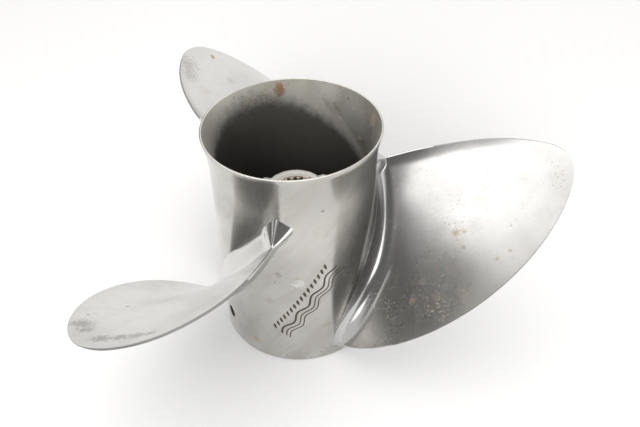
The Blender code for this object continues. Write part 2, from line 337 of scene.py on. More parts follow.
def add_stroke(bm, line, width, tapered):
    """A closed cutter that follows a line of the ornament."""
    rows = []
    last = len(line) - 1
    for i, point in enumerate(line):
        point = Vector(point)
        ahead = (Vector(line[min(i + 1, last)]) - Vector(line[max(i - 1, 0)])).normalized()
        share = max(0.15, math.sin(math.pi * i / last) ** 0.7) if tapered else 1.0
        side = Vector((-ahead.y, ahead.x)) * width * share / 2.0
        corners = ((0.6, True), (-0.6, True), (-1.0, False), (1.0, False))
        rows.append([bm.verts.new(over_barrel(*(point + reach * side), deep))
                     for reach, deep in corners])
    bridge_rows(bm, rows)
    close_ends(bm, rows)


def ornament_lines():
    """A row of leaves over three waves, as (line, width, tapered) in mm."""
    lines = []
    places = [WAVES_START + WAVES_LENGTH * i / WAVE_STEPS for i in range(WAVE_STEPS + 1)]
    for level, width in WAVES:
        wave = [(u, level + WAVE_SWING * math.sin(TURN * u / WAVE_PITCH)) for u in places]
        lines.append((wave, width, False))
    for i in range(LEAF_COUNT):
        foot = LEAVES_START + LEAF_PITCH * i
        leaf = []
        for step in range(LEAF_STEPS + 1):
            t = step / LEAF_STEPS
            bulge = LEAF_BULGE * math.sin(math.pi * t)
            leaf.append((foot + LEAF_SIZE[0] * t, LEAF_FOOT + LEAF_SIZE[1] * t + bulge))
        lines.append((leaf, LEAF_WIDTH, True))
    return lines


def add_vent_cutter(bm, angle):
    """A plug through the wall that flares outwards, so that the hole's edge is round."""
    rings = []
    for reach, widening in VENT_RINGS:
        radius = barrel_inner(VENT_HEIGHT) + reach * MM
        wide = VENT_RADIUS + widening * VENT_ROUND
        ring = []
        for i in range(VENT_COLUMNS):
            a = TURN * i / VENT_COLUMNS
            side = wide * math.cos(a)
            x = radius * math.cos(angle) - side * math.sin(angle)
            y = radius * math.sin(angle) + side * math.cos(angle)
            ring.append(bm.verts.new((x, y, VENT_HEIGHT + wide * math.sin(a))))
        rings.append(ring)
    bridge_rows(bm, rings)
    close_ends(bm, rings)


def make_cutters(groove):
    """The ornament's and the vents' cutters, closed meshes in one object."""
    bm = bmesh.new()
    for line, width, tapered in ornament_lines():
        add_stroke(bm, line, width, tapered)
    for index in range(VENT_COUNT):
        add_vent_cutter(bm, FIRST_VENT_ANGLE + TURN * index / VENT_COUNT)
    return new_object("cutters", bm, [groove])


def nick(angle, z):
    """Depth of the small dents along the front of the rim's lip."""
    near = math.exp(-((math.degrees(angle) - NICK_ANGLE) / NICK_SPREAD) ** 2)
    tooth = max(0.0, noise.noise(Vector((angle * 60.0, 0.0, 3.0))) - 0.05)
    return NICK_DEPTH * near * tooth * max(0.0, (z - BARREL_LENGTH + NICK_HEIGHT) / NICK_HEIGHT)


def unevenness(angle, z):
    """Slow waviness of the hand-finished barrel, in metres of radius."""
    place = Vector((2.2 * math.cos(angle), 2.2 * math.sin(angle), z * 22.0))
    return UNEVENNESS * noise.noise(place)


def barrel_ring(r, z):
    ring = []
    for i in range(BARREL_COLUMNS):
        angle = TURN * i / BARREL_COLUMNS
        depth = nick((angle + math.pi) % TURN - math.pi, z)
        ring.append(polar(r + unevenness(angle, z) - 0.5 * depth, angle, z - depth))
    return ring


def make_barrel(materials, groove):
    """The barrel with its vents and ornament cut out; the cuts keep their cutters' material."""
    profile, inner_from = barrel_profile()
    bm = ring_mesh([barrel_ring(r, z) for r, z in profile], inner_from)
    blank = new_object("barrel_blank", bm, materials)
    cutters = make_cutters(groove)
    cut = blank.modifiers.new("cut", "BOOLEAN")
    cut.object = cutters
    cut.operation = "DIFFERENCE"
    cut.solver = "EXACT"
    cut.material_mode = "TRANSFER"
    bpy.context.view_layer.update()
    depsgraph = bpy.context.evaluated_depsgraph_get()
    result = bpy.data.meshes.new_from_object(blank.evaluated_get(depsgraph))
    bm = bmesh.new()
    bm.from_mesh(result)
    kept = list(result.materials)
    for leftover in (blank, cutters):
        bpy.data.objects.remove(leftover)
    return add_piece("barrel_shell", bm, kept, BODY, ["barrel"], 30.0)


# -------------------- blades

def blade_radius(span):
    return BLADE_ROOT_RADIUS + (TIP_RADIUS - BLADE_ROOT_RADIUS) * span


def blade_thickness(span, chord):
    """Lens-shaped across the chord, thinner from the root to the tip."""
    root_share = 1.0 - span ** 0.8
    full = TIP_THICKNESS + (ROOT_THICKNESS - TIP_THICKNESS) * root_share
    full *= min(1.0, 0.35 + 1.6 * math.sqrt(1.0 - span))
    edge = min(EDGE_THICKNESS, full)
    return edge + (full - edge) * 4.0 * chord * (1.0 - chord)


def blade_face(span, chord):
    """Angle and height of the pressure face, chord 0 at the leading edge and 1 at the trailing."""
    taper = math.sqrt(1.0 - span)
    rise = RISE_PER_RADIAN * (1.0 - PITCH_FALL * span)
    nose = 0.5 * blade_thickness(span, 0.0) / math.hypot(blade_radius(span), rise)
    half = taper * polynomial(HALF_ANGLE, span) - nose
    angle = polynomial(MID_ANGLE, span) + half * (2.0 * chord - 1.0)
    lift = LEADING_LIFT * math.sin(math.pi * span) * (1.0 - chord) ** 3
    curl = max(0.0, (chord - CUP_START) / (1.0 - CUP_START)) ** CUP_POWER
    cup = CUP * curl * min(1.0, 4.0 * span) * (1.0 - smooth(span, *CUP_FADE))
    return angle, polynomial(RAKE, span) + rise * angle + lift + cup


def nose_points(start, end, ahead):
    """A half round from start to end that bulges ahead."""
    centre = (start + end) / 2.0
    arm = start - centre
    angles = [math.pi * i / (NOSE_STEPS + 1) for i in range(1, NOSE_STEPS + 1)]
    return [centre + arm * math.cos(a) + ahead * arm.length * math.sin(a) for a in angles]


def blade_section(span):
    """Closed outline of a section on its cylinder, as (arc length, z), from the leading tip on."""
    radius = blade_radius(span)
    step = 1e-4
    pressure, suction, directions = [], [], []
    for i in range(CHORD_STEPS + 1):
        chord = 0.5 * (1.0 - math.cos(math.pi * i / CHORD_STEPS))
        near = min(max(chord, step), 1.0 - step)
        angle_a, z_a = blade_face(span, near - step)
        angle_b, z_b = blade_face(span, near + step)
        along = Vector((radius * (angle_b - angle_a), z_b - z_a)).normalized()
        angle, z = blade_face(span, chord)
        pressure.append(Vector((radius * angle, z)))
        across = Vector((along.y, -along.x))
        suction.append(pressure[-1] + blade_thickness(span, chord) * across)
        directions.append(along)
    trailing = nose_points(pressure[-1], suction[-1], directions[-1])
    leading = nose_points(suction[0], pressure[0], -directions[0])
    half = NOSE_STEPS // 2
    return leading[half:] + pressure + trailing + suction[::-1] + leading[:half]


def fillet_width(share):
    """Width of the root fillet at a share of the way round the outline from the leading tip.

    It grows along the pressure side, narrows again before the trailing edge, which is halfway,
    and fades out along the suction side.
    """
    if share > 0.5:
        part = max(0.0, 1.0 - (share - 0.5) / SUCTION_FILLET_FADE) ** 2
    else:
        part = smooth(2.0 * share, 0.0, FILLET_GROWTH)
    narrowing = TAIL_NARROWING * smooth(2.0 * share, *NARROWING_SPAN)
    return FILLET + (TRAILING_FILLET - FILLET) * part * (1.0 - narrowing)


def swollen(outline, climb):
    """The outline with its root fillet: hollow along the faces and cut flat behind the tail."""
    if climb >= 1.0:
        return outline
    hollow = 1.0 - (1.0 - (1.0 - climb) ** FILLET_POWER) ** (1.0 / FILLET_POWER)
    facet = max(0.0, 1.0 - climb / FACET_TOP)
    end = NOSE_STEPS // 2 + CHORD_STEPS
    start = end + NOSE_STEPS + 1
    middle = (end + start) // 2
    tail = (outline[middle] + outline[middle + 1] - outline[end] - outline[start]).normalized()
    side = Vector((-tail.y, tail.x))
    grown = []
    for i, point in enumerate(outline):
        ahead = outline[(i + 1) % len(outline)] - outline[i - 1]
        outward = Vector((-ahead.y, ahead.x)).normalized()
        round_part = hollow * fillet_width(i / len(outline)) * outward
        across = outward.dot(side)
        facing_back = outward.dot(tail) > 0.0
        back = 1.0 - min(1.0, abs(across)) ** FACET_SQUARENESS if facing_back else 0.0
        flat_part = facet * (FACET_REACH * back * tail + FACET_SIDE * across * side
                             + FACET_LEAN * side)
        flatness = 1.0 - smooth((outline[middle] - point).dot(tail), 0.0, FACET_BLEND)
        grown.append(point + round_part * (1.0 - flatness) + flat_part * flatness)
    return grown


def blade_row(span, climb, blade_angle):
    """A section wrapped on its cylinder; climb runs from 0 to 1 up the root fillet.

    The root rows lie on the barrel's outer face, a little way in, and the rest less and less so.
    """
    radius = blade_radius(span)
    row = []
    for arc, z in swollen(blade_section(span), climb):
        angle = blade_angle + arc / radius
        seat = barrel_outer(z) + unevenness(angle, z) - SINK * (1.0 - climb) - BLADE_ROOT_RADIUS
        row.append(polar(radius + seat * (1.0 - span) ** 4, angle, z))
    return row


def blade_rows(blade_angle):
    """Rows up the fillet, then on to the tip, where they lie closer together."""
    fillet_span = FILLET_HEIGHT / (TIP_RADIUS - BLADE_ROOT_RADIUS)
    climbs = [1.0 - math.cos(0.5 * math.pi * i / FILLET_STEPS) for i in range(FILLET_STEPS + 1)]
    rows = [blade_row(climb * fillet_span, climb, blade_angle) for climb in climbs]
    first = math.asin(fillet_span)
    for i in range(1, SPAN_ROWS + 1):
        # The last row stops just short of the tip, where a section would be a single point
        span = math.sin(first + (math.pi / 2.0 - first) * i / (SPAN_ROWS + 0.35))
        rows.append(blade_row(span, 1.0, blade_angle))
    return rows


def make_blade(index, materials):
    """One blade; its rounded edges, clear of the root, take the second material."""
    bm = bmesh.new()
    rows = blade_rows(FIRST_BLADE_ANGLE + TURN * index / BLADE_COUNT)
    verts = [[bm.verts.new(point) for point in row] for row in rows]
    bridge_rows(bm, verts)
    bm.faces.new(verts[-1])
    columns = len(rows[0])
    half = NOSE_STEPS // 2
    for i, face in enumerate(bm.faces):
        column = i % columns
        leading = min(column, columns - 1 - column) < half
        trailing = 0 <= column - half - CHORD_STEPS < NOSE_STEPS
        if i // columns > FILLET_STEPS + EDGE_START and (leading or trailing):
            face.material_index = 1
    name = f"blade_{index + 1}"
    return add_piece(f"{name}_casting", bm, materials, BODY, [name], 50.0)


# -------------------- hub

def make_inner_hub(materials):
    """Tube, cone and boss in one turned profile, with a stepped bore."""
    boss_bore = SLEEVE_RADIUS + HUB_FIT
    shoulder = BUSH_AFT + SHOULDER_GAP
    profile = rounded([
        (HUB_RADIUS, HUB_FRONT, 1), (HUB_RADIUS, CONE_START, 5),
        (BOSS_RADIUS, BOSS_START, 5), (BOSS_RADIUS, HUB_AFT, 1),
        (boss_bore, HUB_AFT, 0.5), (boss_bore, shoulder + SHOULDER_SLOPE, 0),
        (HUB_BORE, shoulder, 2), (HUB_BORE, HUB_FRONT, 1.5),
    ], 0.8 * MM)
    return add_piece("inner_hub_casting", turned_mesh(profile), materials, BODY,
                     ["inner_hub"])


def hub_outer(z):
    cone = min(1.0, max(0.0, (z - CONE_START) / (BOSS_START - CONE_START)))
    return HUB_RADIUS + (BOSS_RADIUS - HUB_RADIUS) * cone


def rib_station(share):
    """Closed outline of a rib's cross-section at a share of the way from hub to barrel."""
    dip = math.sin(math.pi * share)
    low = RIB_FRONT + RIB_FRONT_DIP * dip
    drop = smooth(share, 0.12, 0.45)
    high = HUB_AFT * (1 - drop) + RIB_AFT * drop - RIB_AFT_DIP * dip * drop
    reach = barrel_inner(RIB_AFT) - BOSS_RADIUS
    near_hub = max(0.0, 1.0 - share * reach / RIB_FILLET)
    near_barrel = max(0.0, 1.0 - (1.0 - share) * reach / RIB_FILLET)
    spread = sum(1.0 - math.sqrt(1.0 - x * x) for x in (near_hub, near_barrel)) * RIB_FILLET
    half = RIB_THICKNESS / 2.0 + spread
    rise = half * 0.6
    outline = []
    for start, middle in ((0.0, high - rise), (math.pi, low + rise)):
        for s in range(RIB_ROUND_STEPS + 1):
            a = start + math.pi * s / RIB_ROUND_STEPS
            outline.append((half * math.cos(a), middle + rise * math.sin(a)))
    return outline


def make_rib(index, materials):
    """A web from the inner hub to the barrel, its rows closer together at both ends."""
    angle = RIB_ANGLES[index]
    bm = bmesh.new()
    rows = []
    for i in range(RIB_STEPS + 1):
        share = 0.5 * (1.0 - math.cos(math.pi * i / RIB_STEPS))
        row = []
        for side, z in rib_station(share):
            start = hub_outer(z) - RIB_SINK
            end = barrel_inner(z) + RIB_SINK
            across = start + (end - start) * share
            radial = math.sqrt(max(0.0, across ** 2 - side ** 2))
            x = radial * math.cos(angle) - side * math.sin(angle)
            y = radial * math.sin(angle) + side * math.cos(angle)
            row.append(bm.verts.new((x, y, z)))
        rows.append(row)
    bridge_rows(bm, rows)
    name = f"rib_{index + 1}"
    return add_piece(f"{name}_web", bm, materials, BODY, [name])


def make_bush(materials):
    """A rubber tube between hub and sleeve, with dished end faces."""
    outer = HUB_BORE - HUB_FIT
    bore = SLEEVE_RADIUS + BUSH_FIT
    middle = (outer + bore) / 2
    profile = rounded([
        (outer, BUSH_FRONT, 2), (outer, BUSH_AFT, 2),
        (middle, BUSH_AFT - BUSH_DISH, 2), (bore, BUSH_AFT, 1),
        (bore, BUSH_FRONT, 1), (middle, BUSH_FRONT + BUSH_DISH, 2),
    ], 0.9 * MM)
    return add_piece("rubber_bush_moulding", turned_mesh(profile), materials, BODY,
                     ["rubber_bush"])


def spline_loop(z, ease):
    """The splined bore at height z; ease opens it up, but never past the grooves."""
    points = []
    for i in range(SPLINE_COLUMNS):
        angle = TURN * i / SPLINE_COLUMNS
        wave = math.cos(SPLINE_COUNT * (angle - TURN * SPLINE_OFFSET / SPLINE_COUNT))
        tooth = 0.5 + 0.5 * math.tanh(SPLINE_SHARPNESS * wave) / math.tanh(SPLINE_SHARPNESS)
        radius = SPLINE_ROOT_RADIUS + (SPLINE_TIP_RADIUS - SPLINE_ROOT_RADIUS) * tooth
        points.append(polar(max(radius, min(radius + ease, SPLINE_ROOT_RADIUS)), angle, z))
    return points


def make_sleeve(materials):
    """Outer face and splined bore in turn, both with eased edges at the two ends."""
    edge = ROUNDED_EDGE
    cuts = [(1.3 * edge, 0.0), (edge, 0.0), (0.3 * edge, 0.3 * edge), (0.0, edge)]
    eases = [(0.9 * MM, 0.0), (0.6 * MM, 0.0), (0.2 * MM, 0.3 * edge), (0.0, edge)]
    loops = [circle(SLEEVE_RADIUS - cut, SLEEVE_FRONT + depth, SPLINE_COLUMNS)
             for cut, depth in cuts]
    loops += [circle(SLEEVE_RADIUS - cut, HUB_AFT - depth, SPLINE_COLUMNS)
              for cut, depth in reversed(cuts)]
    loops += [spline_loop(HUB_AFT - depth, ease) for ease, depth in eases]
    loops += [spline_loop(SLEEVE_FRONT + depth, ease) for ease, depth in reversed(eases)]
    return add_piece("drive_sleeve_splined", ring_mesh(loops), materials, SLEEVE_BODY,
                     ["drive_sleeve"])


# -------------------- materials

class Nodes:
    """A small helper that adds and joins shader nodes in one tree."""

    def __init__(self, tree):
        self.tree = tree

    def add(self, kind, operation=None, **settings):
        node = self.tree.nodes.new(kind)
        if operation:
            node.operation = operation
        for key, value in settings.items():
            setattr(node, key, value)
        return node

    def feed(self, socket, value):
        if hasattr(value, "is_linked"):
            self.tree.links.new(value, socket)
        else:
            socket.default_value = value

    def math(self, operation, a, b=0.0):
        node = self.add("ShaderNodeMath", operation)
        for socket, value in zip(node.inputs, (a, b)):
            self.feed(socket, value)
        return node.outputs[0]

    def ramp(self, value, low, high, to_low=0.0, to_high=1.0):
        """Smooth step of value from low to high."""
        node = self.add("ShaderNodeMapRange", interpolation_type="SMOOTHSTEP")
        for socket, amount in zip(node.inputs, (value, low, high, to_low, to_high)):
            self.feed(socket, amount)
        return node.outputs[0]

    def band(self, value, rise, fall):
        """1 between two smooth steps and 0 outside them; each step is (start, end)."""
        return self.math("MULTIPLY", self.ramp(value, *rise), self.ramp(value, *fall, 1.0, 0.0))

    def mix(self, factor, a, b):
        node = self.add("ShaderNodeMix", data_type="RGBA")
        self.feed(node.inputs[0], factor)
        self.feed(node.inputs[6], a)
        self.feed(node.inputs[7], b)
        return node.outputs[2]

    def noise(self, place, scale, detail=2.0, roughness=0.5):
        node = self.add("ShaderNodeTexNoise")
        for name, value in (("Vector", place), ("Scale", scale), ("Detail", detail),
                            ("Roughness", roughness)):
            self.feed(node.inputs[name], value)
        return node.outputs[0]

    def stretch(self, place, scale):
        node = self.add("ShaderNodeVectorMath", "MULTIPLY")
        self.feed(node.inputs[0], place)
        node.inputs[1].default_value = scale
        return node.outputs[0]

    def distance(self, place, centre):
        node = self.add("ShaderNodeVectorMath", "DISTANCE")
        self.feed(node.inputs[0], place)
        node.inputs[1].default_value = centre
        return node.outputs["Value"]

    def lean(self, place, degrees, scale):
        """Coordinates turned about Y, then scaled: the first runs along lines that lean so."""
        node = self.add("ShaderNodeMapping", vector_type="TEXTURE")
        self.feed(node.inputs["Vector"], place)
        node.inputs["Rotation"].default_value = (0.0, math.radians(-degrees), 0.0)
        node.inputs["Scale"].default_value = tuple(1.0 / amount for amount in scale)
        return node.outputs[0]

    def radial(self, place):
        """Distance from the shaft axis."""
        node = self.add("ShaderNodeVectorMath", "LENGTH")
        self.feed(node.inputs[0], self.stretch(place, (1.0, 1.0, 0.0)))
        return node.outputs["Value"]

    def blot(self, place, centre, radius, ragged, wobble):
        """A speckled spot that breaks up towards its edge."""
        far = self.math("DIVIDE", self.distance(place, centre), radius)
        far = self.math("ADD", far, self.math("MULTIPLY", wobble, ragged))
        return self.ramp(far, 0.45, 1.0, 1.0, 0.0)


def new_material(name):
    """A material, the helper for its nodes and its shader."""
    material = bpy.data.materials.new(name)
    material.use_nodes = True
    tree = material.node_tree
    return material, Nodes(tree), tree.nodes["Principled BSDF"]


class Surface:
    """A shader's colour, roughness and metallic while coats are laid over one another."""

    def __init__(self, nodes, colour, rough, metal):
        self.nodes = nodes
        self.colour = colour
        self.rough = rough
        self.metal = metal

    def cover(self, mask, colour, rough, metal):
        n = self.nodes
        keep = n.math("SUBTRACT", 1.0, mask)
        self.colour = n.mix(mask, self.colour, colour)
        self.rough = n.math("ADD", n.math("MULTIPLY", self.rough, keep),
                            n.math("MULTIPLY", mask, rough))
        self.metal = n.math("ADD", n.math("MULTIPLY", self.metal, keep),
                            n.math("MULTIPLY", mask, metal))


class SteelFields:
    """The noises that a steel surface's looks are made of."""

    def __init__(self, n):
        self.place = n.add("ShaderNodeTexCoord").outputs["Object"]
        self.broad = n.noise(self.place, 24.0, 3.0)
        self.mottle = n.noise(self.place, 170.0, 4.0, 0.62)
        self.speck = n.noise(self.place, 700.0, 3.0, 0.62)
        self.grain = n.noise(self.place, 1300.0, 3.0, 0.6)
        self.scratch = n.noise(n.stretch(self.place, (260.0, 2400.0, 420.0)), 1.0, 2.0, 0.7)
        self.polish = n.noise(n.lean(self.place, 48.0, (16.0, 70.0, 105.0)), 1.0, 3.0, 0.55)
        self.centred = n.math("SUBTRACT", self.mottle, 0.5)
        self.wobble = n.math("ADD", n.math("MULTIPLY", self.centred, 0.8),
                             n.math("MULTIPLY", n.math("SUBTRACT", self.speck, 0.5), 2.4))


RUST = (0.22, 0.115, 0.055, 1.0)
TEA = (0.36, 0.26, 0.14, 1.0)
# The soot colour also serves as painted shade and painted shadow.
SOOT_AND_PAINTED_SHADE = (0.018, 0.017, 0.015, 1.0)
# The grime colour also serves as painted shade at the barrel's foot.
GRIME_AND_SHADE = (0.13, 0.115, 0.095, 1.0)
PALE = (0.74, 0.73, 0.71, 1.0)


def bare_steel(n, fields, tone, gloss, metallic, clouds, streaks, root_gloss):
    """Clean steel, with the clouds and the diagonal streaks that polishing leaves."""
    darker = tuple(0.86 * c for c in tone) + (1.0,)
    colour = n.mix(n.ramp(fields.broad, 0.35, 0.7), (*tone, 1.0), darker)
    colour = n.mix(n.math("MULTIPLY", n.ramp(fields.mottle, 0.5, 0.8), 0.35), colour,
                   (0.80 * tone[0], 0.77 * tone[1], 0.72 * tone[2], 1.0))
    colour = n.mix(n.math("MULTIPLY", n.ramp(fields.polish, 0.42, 0.68), streaks), colour,
                   (0.66 * tone[0], 0.65 * tone[1], 0.63 * tone[2], 1.0))
    if root_gloss:
        gloss = n.ramp(n.radial(fields.place), 0.058, 0.105, root_gloss, gloss)
    varied = 1.0
    for field, depth in ((fields.broad, 6.0 * clouds), (fields.mottle, 0.4), (fields.scratch, 0.4),
                         (fields.grain, 0.3), (fields.polish, 3.0 * streaks)):
        change = n.math("MULTIPLY", n.math("SUBTRACT", field, 0.5), depth)
        varied = n.math("ADD", varied, change)
    return Surface(n, colour, n.math("MULTIPLY", gloss, varied), metallic)


def add_specks(n, fields, surface, gathered, freckles, crowds):
    """Brown specks, more of them where gathered is high and in each of the crowds."""
    least = n.math("SUBTRACT", 0.70, n.math("MULTIPLY", gathered, 0.20 * freckles))
    for centre, radius, amount in crowds:
        near = n.ramp(n.distance(fields.place, centre), 0.2 * radius, radius, amount, 0.0)
        least = n.math("SUBTRACT", least, near)
    spot = n.ramp(fields.speck, least, n.math("ADD", least, 0.05))
    surface.cover(n.math("MULTIPLY", spot, 0.7), TEA, 0.5, 0.45)


def add_blots(n, fields, surface, blots):
    for centre, radius, colour, strength, ragged in blots:
        mask = n.blot(fields.place, centre, radius, ragged, fields.wobble)
        surface.cover(n.math("MULTIPLY", mask, strength), colour, 0.5,
                      0.4 if colour is RUST else 0.85)


def add_rust_ring(n, fields, surface, radius):
    """A ragged line of rust round the shaft axis, about a millimetre to each side."""
    far = n.math("ABSOLUTE", n.math("SUBTRACT", n.radial(fields.place), radius))
    far = n.math("ADD", n.math("MULTIPLY", far, 900.0), n.math("MULTIPLY", fields.wobble, 1.2))
    surface.cover(n.math("MULTIPLY", n.ramp(far, 0.3, 1.0, 1.0, 0.0), 0.85), RUST, 0.6, 0.3)


def add_soot_and_painted_shade(n, fields, surface, tilt_x, tilt_y, clear_height, darkest_height):
    """Exhaust soot and painted shade, fading from the darkest height up to the clear one."""
    axes = n.add("ShaderNodeSeparateXYZ")
    n.feed(axes.inputs[0], fields.place)
    level = n.math("ADD", axes.outputs[2], n.math("MULTIPLY", axes.outputs[0], tilt_x))
    level = n.math("ADD", level, n.math("MULTIPLY", axes.outputs[1], tilt_y))
    level = n.math("ADD", level, n.math("MULTIPLY", fields.centred, 0.009))
    mask = n.ramp(level, clear_height, darkest_height)
    surface.cover(n.math("MULTIPLY", mask, 0.95), SOOT_AND_PAINTED_SHADE, 0.7, 0.35)


def steel_relief(n, fields, pit, wave):
    """The normal over slow waves of the given depth in millimetres, grain, pits and scratches."""
    bump = n.add("ShaderNodeBump")
    slow = n.math("MULTIPLY", n.noise(fields.place, 62.0, 2.0, 0.45), wave * MM)
    fine = n.math("MULTIPLY", fields.grain, 0.0007 * MM)
    dent = n.math("MULTIPLY", pit, -0.012 * MM)
    ridge = n.math("MULTIPLY", fields.scratch, 0.0015 * MM)
    height = n.math("ADD", n.math("ADD", slow, fine), n.math("ADD", dent, ridge))
    n.feed(bump.inputs["Height"], height)
    bump.inputs["Distance"].default_value = 1.0
    return bump.outputs[0]


def make_steel(name, tone, gloss, freckles=0.3, blots=(), wave=0.05, clouds=0.05, soot_and_shade=None,
               streaks=0.0, metallic=1.0, rust_ring=None, root_gloss=None, crowds=()):
    """Polished and weathered stainless steel.

    tone is its colour, gloss its roughness, and freckles how many brown specks there are. Each of
    blots is (centre, radius, colour, strength, ragged). wave is the depth in millimetres of its
    slow unevenness, and clouds and streaks are how much its gloss varies. soot_and_shade is (tilt
    x, tilt y, clear height, darkest height) for a wall darkened by exhaust soot and by painted
    shade.
    rust_ring is the radius of a rusty edge, and root_gloss a blade's roughness at its root. Each of
    crowds is (centre, radius, amount), a place with many more specks.
    """
    material, n, shader = new_material(name)
    fields = SteelFields(n)
    surface = bare_steel(n, fields, tone, gloss, metallic, clouds, streaks, root_gloss)
    gathered = n.ramp(n.noise(fields.place, 36.0, 2.0), 0.44, 0.66)
    add_specks(n, fields, surface, gathered, freckles, crowds)
    pit = n.ramp(fields.grain, n.math("SUBTRACT", 0.76, n.math("MULTIPLY", gathered, 0.05)), 0.80)
    surface.cover(n.math("MULTIPLY", pit, 0.7), GRIME_AND_SHADE, 0.6, 0.7)
    add_blots(n, fields, surface, blots)
    if rust_ring:
        add_rust_ring(n, fields, surface, rust_ring)
    if soot_and_shade:
        add_soot_and_painted_shade(n, fields, surface, *soot_and_shade)
    n.feed(shader.inputs["Normal"], steel_relief(n, fields, pit, wave))
    n.feed(shader.inputs["Base Color"], surface.colour)
    n.feed(shader.inputs["Roughness"], surface.rough)
    n.feed(shader.inputs["Metallic"], surface.metal)
    return material


def make_rubber():
    """Black rubber, dusty and faintly mottled."""
    material, n, shader = new_material("bush_rubber")
    place = n.add("ShaderNodeTexCoord").outputs["Object"]
    mottle = n.noise(place, 260.0, 4.0, 0.6)
    dust = n.noise(place, 900.0, 3.0, 0.6)
    colour = n.mix(n.ramp(mottle, 0.4, 0.75), (0.022, 0.021, 0.020, 1.0),
                   (0.060, 0.054, 0.046, 1.0))
    n.feed(shader.inputs["Base Color"], colour)
    n.feed(shader.inputs["Roughness"], n.ramp(dust, 0.2, 0.8, 0.55, 0.8))
    bump = n.add("ShaderNodeBump")
    n.feed(bump.inputs["Height"], n.math("MULTIPLY", dust, 0.02 * MM))
    bump.inputs["Distance"].default_value = 1.0
    n.feed(shader.inputs["Normal"], bump.outputs[0])
    return material


def on_barrel(degrees, height):
    """The point of the barrel's outer face at an azimuth in degrees and a height in mm."""
    return polar(barrel_outer(height * MM), math.radians(degrees), height * MM)


def in_barrel(degrees, height):
    """The same on its inner face."""
    return polar(barrel_inner(height * MM), math.radians(degrees), height * MM)


def on_blade(index, across, radius):
    """The point of a blade's pressure face at a radius in mm and a distance across its axis."""
    blade_angle = FIRST_BLADE_ANGLE + TURN * index / BLADE_COUNT
    span = (radius * MM - BLADE_ROOT_RADIUS) / (TIP_RADIUS - BLADE_ROOT_RADIUS)
    angle = math.asin(across / radius)
    # The chord at that angle, by halving
    low, high = 0.0, 1.0
    for _ in range(30):
        chord = 0.5 * (low + high)
        if blade_face(span, chord)[0] < angle:
            low = chord
        else:
            high = chord
    return polar(radius * MM, blade_angle + angle, blade_face(span, low)[1])


def barrel_blots():
    """Stains of the barrel's outer face and painted shade at its foot, as make_steel takes them."""
    return [
        (on_barrel(-126.5, 12), 3.4 * MM, TEA, 0.75, 1.2),
        (on_barrel(-104.7, 80.3), 2.0 * MM, GRIME_AND_SHADE, 0.45, 1.3),
        (on_barrel(-92, 78), 2.4 * MM, TEA, 0.35, 1.6),
        (on_barrel(-107.5, 73.5), 0.8 * MM, GRIME_AND_SHADE, 0.8, 0.8),
        (on_barrel(-73, 128), 1.1 * MM, GRIME_AND_SHADE, 0.7, 1.0),
        (on_barrel(-72.9, 31.7), 3.0 * MM, TEA, 0.40, 1.6),
        (on_barrel(-54.5, 37.5), 5.0 * MM, TEA, 0.45, 1.8),
        (on_barrel(-120.7, 40.3), 1.3 * MM, TEA, 0.45, 1.0),
        (on_barrel(-112.9, 56), 3.4 * MM, GRIME_AND_SHADE, 0.22, 1.6),
        (on_barrel(-128.6, 64.6), 2.6 * MM, TEA, 0.40, 1.6),
        (on_barrel(-91.4, 72.4), 4.2 * MM, PALE, 0.45, 1.6),
        # Painted shade: two wide faint dark patches along the foot, where the barrel stands on the
        # floor.
        (on_barrel(-70, 3), 10.0 * MM, GRIME_AND_SHADE, 0.25, 1.0),
        (on_barrel(-95, 2), 10.0 * MM, GRIME_AND_SHADE, 0.20, 1.0),
        (on_barrel(-118, 126), 11.0 * MM, PALE, 0.16, 3.0),
    ]


def inner_blots():
    """Stains of the barrel's inner face and two wide pale patches high on its far side, as
    make_steel takes them.
    """
    return [
        (in_barrel(97.3, 147.8), 5.4 * MM, RUST, 0.85, 0.6),
        (in_barrel(97.6, 150.5), 4.2 * MM, RUST, 0.80, 0.6),
        (in_barrel(27, 124.5), 3.6 * MM, TEA, 0.65, 1.4),
        (in_barrel(26, 127.5), 1.3 * MM, RUST, 0.75, 1.0),
        (in_barrel(38, 143.8), 1.5 * MM, RUST, 0.8, 1.0),
        (in_barrel(44, 148.5), 1.2 * MM, GRIME_AND_SHADE, 0.8, 1.0),
        (in_barrel(48.5, 134), 1.2 * MM, RUST, 0.75, 1.0),
        (in_barrel(61, 140.5), 2.2 * MM, TEA, 0.5, 1.4),
        (in_barrel(12, 148), 5.0 * MM, RUST, 0.70, 1.4),
        (in_barrel(60, 149), 11.0 * MM, PALE, 0.45, 1.2),
        (in_barrel(35, 138), 18.0 * MM, PALE, 0.35, 0.6),
    ]


